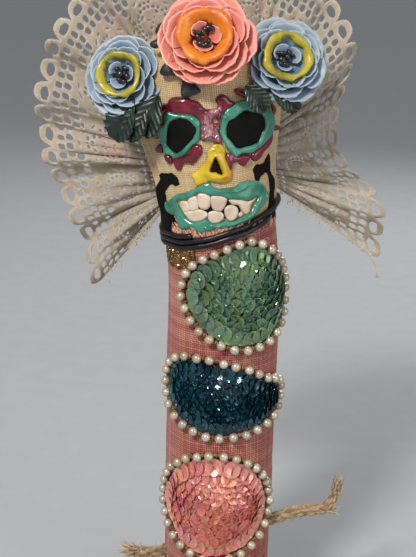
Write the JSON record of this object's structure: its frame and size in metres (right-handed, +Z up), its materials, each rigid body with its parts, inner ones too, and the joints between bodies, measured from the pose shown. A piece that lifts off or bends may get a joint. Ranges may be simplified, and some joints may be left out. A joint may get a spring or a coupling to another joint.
{
  "type": "day of the dead doll",
  "caption": "Upright cloth roll doll with a painted skull face, a crown of moulded flowers, a gathered lace veil, sequin patches edged with pearls and short rope arms.",
  "frame": {"origin": "centre of the body's flat underside, on the surface that the doll stands on", "axes": "+Z up along the body, -Y towards the viewer of the face, +X to the right as seen from the front"},
  "size_m": [0.1493, 0.0606, 0.2941],
  "materials": {
    "body_cloth": "coarse plain weave in dusty rose",
    "canvas": "cream cotton canvas",
    "waxed_cord": "black waxed cord, half gloss",
    "glitter": "brown fabric with gold glitter",
    "black_paint": "matte black craft paint",
    "teal_paint": "thick glossy puffy paint",
    "crimson_paint": "thick glossy puffy paint",
    "yellow_paint": "thick glossy puffy paint",
    "tooth_paint": "thick cream puffy paint",
    "sequin_olive": "iridescent cupped sequins",
    "sequin_petrol": "dark iridescent cupped sequins",
    "sequin_coral": "iridescent cupped sequins",
    "pearl": "pearl lustre beads on a metallic thread",
    "blue_petal": "waxy moulded petals",
    "coral_petal": "waxy moulded petals",
    "yellow_ring": "thick glossy paint",
    "orange_ring": "thick glossy paint",
    "flower_heart": "glossy black paint blobs",
    "leaf": "dark green satin leaves",
    "rope": "twisted natural fibre rope with frayed ends",
    "lace": "cream cotton bobbin lace"
  },
  "bodies": {
    "root": {"body": "body_cloth", "head": "canvas", "neck_cord": "waxed_cord", "glitter_tab": "glitter", "eye_socket_left": "black_paint", "eye_ring_left": "teal_paint", "eye_border_left": "crimson_paint", "eye_socket_right": "black_paint", "eye_ring_right": "teal_paint", "eye_border_right": "crimson_paint", "nose": "yellow_paint", "lips": "teal_paint", "tooth_upper_1": "tooth_paint", "tooth_upper_2": "tooth_paint", "tooth_upper_3": "tooth_paint", "tooth_upper_4": "tooth_paint", "tooth_upper_5": "tooth_paint", "tooth_lower_1": "tooth_paint", "tooth_lower_2": "tooth_paint", "tooth_lower_3": "tooth_paint", "tooth_lower_4": "tooth_paint", "sequin_patch_top": "sequin_olive", "pearl_string_top": "pearl", "sequin_patch_middle": "sequin_petrol", "pearl_string_middle": "pearl", "sequin_patch_bottom": "sequin_coral", "pearl_string_bottom": "pearl", "flower_left": "blue_petal", "flower_ring_left": "yellow_ring", "flower_heart_left": "flower_heart", "flower_centre": "coral_petal", "flower_ring_centre": "orange_ring", "flower_heart_centre": "flower_heart", "flower_right": "blue_petal", "flower_ring_right": "yellow_ring", "flower_heart_right": "flower_heart", "leaf_left_outer": "leaf", "leaf_left_inner": "leaf", "leaf_curled": "leaf", "leaf_right_inner": "leaf", "leaf_right_outer": "leaf", "rope_arm_right": "rope", "rope_arm_left": "rope", "lace_veil": "lace"}
  },
  "joints": []
}
